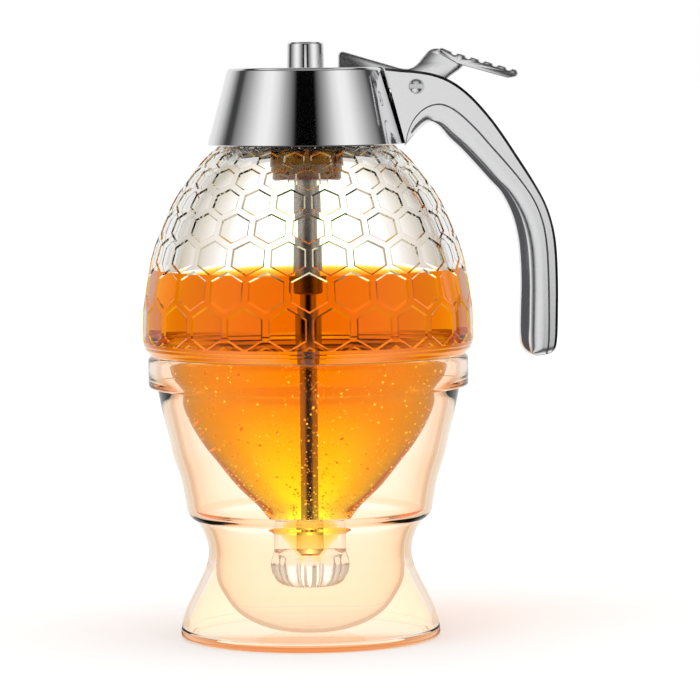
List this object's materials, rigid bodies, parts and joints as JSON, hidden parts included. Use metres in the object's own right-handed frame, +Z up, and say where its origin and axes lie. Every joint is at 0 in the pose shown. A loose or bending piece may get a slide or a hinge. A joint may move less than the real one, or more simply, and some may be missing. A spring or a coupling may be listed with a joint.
{
  "type": "honey dispenser",
  "caption": "Clear honey dispenser: honeycomb dome jar with funnel and valve, metal cap, side handle and thumb lever, filled with honey and standing in its drip cup stand.",
  "frame": {"origin": "centre of the base plate's underside, on the jar's axis", "axes": "+Z up along the jar's axis, +X towards the handle, -Y towards the front"},
  "size_m": [0.1202, 0.0958, 0.1721],
  "materials": {
    "jar_acrylic": "clear moulded acrylic with a honeycomb relief",
    "honey": "clear amber honey",
    "cap_chrome": "polished chrome plate",
    "guide_steel": "drawn steel tube",
    "knob_chrome": "polished chrome plate",
    "stopper_silicone": "moulded silicone",
    "handle_satin": "satin chrome plated die casting",
    "lever_satin": "satin chrome plated die casting",
    "pin_steel": "turned steel",
    "stand_acrylic": "clear moulded acrylic",
    "cup_acrylic": "acrylic with a faint peach tint",
    "base_amber": "amber tinted acrylic"
  },
  "bodies": {
    "dispenser": {"jar": "jar_acrylic", "honey": "honey", "cap": "cap_chrome", "rod_guide": "guide_steel", "handle": "handle_satin", "hinge_pin": "pin_steel", "stand_shell": "stand_acrylic", "drip_cup": "cup_acrylic", "base_plate": "base_amber"},
    "lever": {"thumb_lever": "lever_satin"},
    "valve": {"plunger": "knob_chrome", "stopper": "stopper_silicone"}
  },
  "joints": [
    {"name": "lever_press", "type": "hinge", "parent": "dispenser", "child": "lever", "pos_m": [0.0318, 0, 0.1591], "axis": [0, 1, 0], "range_deg": [0, 12], "stiffness_Nm_per_rad": 0.6, "springref_deg": -6.88},
    {"name": "plunger_lift", "type": "slide", "parent": "dispenser", "child": "valve", "axis": [0, 0, 1], "range_m": [0, 0.00665]}
  ],
  "couplings": [
    {"joint": "lever_press", "follows": "plunger_lift", "rad_per_m": 31.447}
  ]
}
